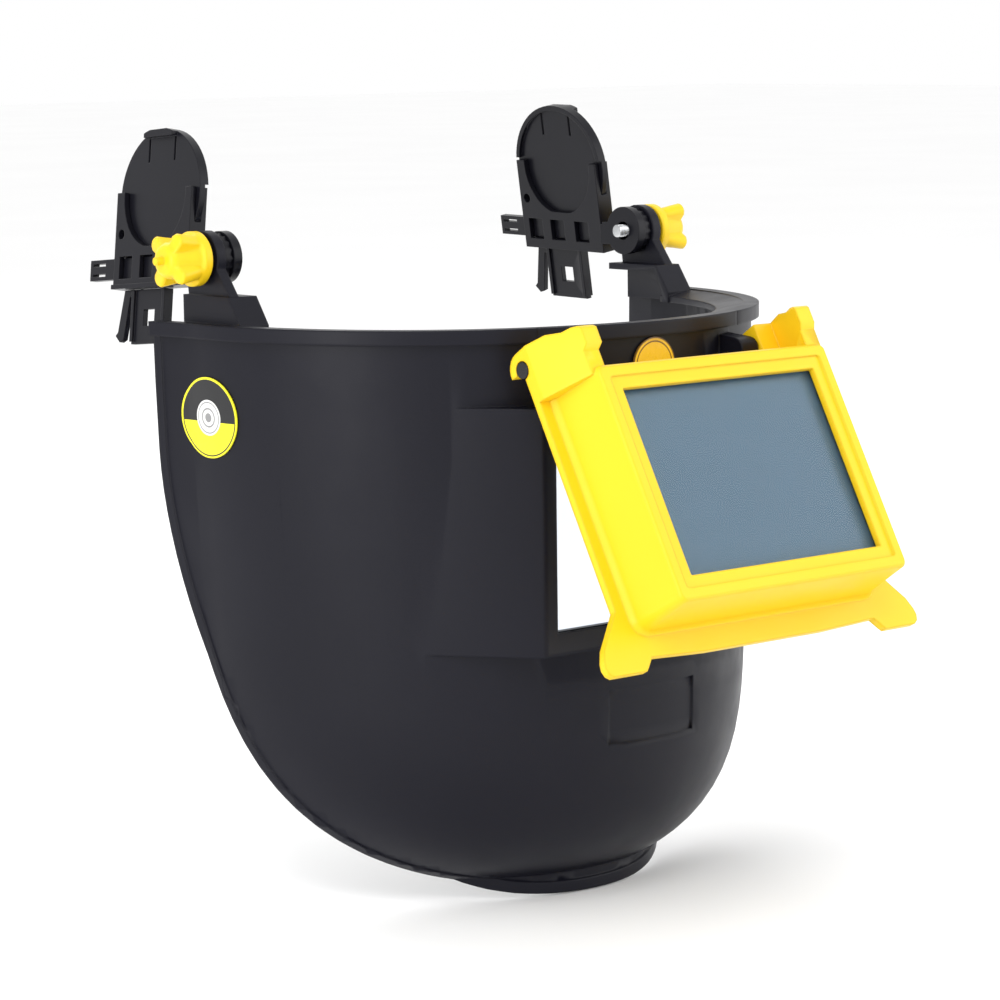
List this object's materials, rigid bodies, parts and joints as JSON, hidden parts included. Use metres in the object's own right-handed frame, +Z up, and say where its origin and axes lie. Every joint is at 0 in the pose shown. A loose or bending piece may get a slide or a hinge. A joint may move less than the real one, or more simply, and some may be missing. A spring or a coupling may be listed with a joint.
{
  "type": "helmet-mounted welding face shield",
  "caption": "Deep wrap-round face shield with a lift-up filter window over a clear lens, clamp knobs at the ears and slide-in side adapters for a safety helmet.",
  "frame": {"origin": "middle of the axis through the two ear pivots, on which the shield tilts", "axes": "+Z up, -Y towards the front of the shield, +X towards the wearer's left"},
  "size_m": [0.2736, 0.2874, 0.3003],
  "materials": {
    "shell_black": "satin, fine moulded grain",
    "trim_black": "semi-gloss moulded nylon",
    "yellow": "semi-gloss moulded",
    "clear_lens": "clear, polished",
    "filter_glass": "dark mirror-grey filter, polished",
    "steel": "plain threaded steel",
    "dark_metal": "black finish",
    "sticker": "printed film, no lettering",
    "badge": "metallic gold film, blank"
  },
  "bodies": {
    "slide_arms": {"slide_arm_left": "trim_black", "slide_arm_right": "trim_black", "index_disc_left": "trim_black", "index_disc_right": "trim_black"},
    "adapter_left": {"carrier_left": "trim_black", "helmet_plate_left": "trim_black", "slot_blade_left": "trim_black"},
    "adapter_right": {"carrier_right": "trim_black", "helmet_plate_right": "trim_black", "slot_blade_right": "trim_black"},
    "shield": {"shell": "shell_black", "clear_lens": "clear_lens", "clear_lens_retainer": "trim_black", "hinge_pin_left": "dark_metal", "hinge_pin_right": "dark_metal", "knob_washer_left": "dark_metal", "knob_washer_right": "dark_metal", "side_sticker": "sticker", "front_badge": "badge"},
    "flip_front": {"flip_frame": "yellow", "filter_cover_lens": "clear_lens", "filter_glass": "filter_glass", "filter_retainer": "dark_metal"},
    "clamp_left": {"knob_left": "yellow", "knob_stud_left": "steel"},
    "clamp_right": {"knob_right": "yellow", "knob_stud_right": "steel"}
  },
  "joints": [
    {"name": "reach_left", "type": "slide", "parent": "slide_arms", "child": "adapter_left", "axis": [0, 0.9998, 0.0175], "range_m": [0, 0.01]},
    {"name": "reach_right", "type": "slide", "parent": "slide_arms", "child": "adapter_right", "axis": [0, 0.9962, -0.0872], "range_m": [0, 0.01]},
    {"name": "raise", "type": "hinge", "parent": "slide_arms", "child": "shield", "pos_m": [0, 0, 0], "axis": [-1, 0, 0], "range_deg": [0, 80]},
    {"name": "flip", "type": "hinge", "parent": "shield", "child": "flip_front", "pos_m": [0, -0.129, -0.0378], "axis": [-1, 0, 0], "range_deg": [-28.5, 60]},
    {"name": "clamp_turn_left", "type": "hinge", "parent": "shield", "child": "clamp_left", "pos_m": [0.127, 0, 0], "axis": [1, 0, 0], "continuous": true},
    {"name": "clamp_turn_right", "type": "hinge", "parent": "shield", "child": "clamp_right", "pos_m": [-0.127, 0, 0], "axis": [-1, 0, 0], "continuous": true}
  ]
}
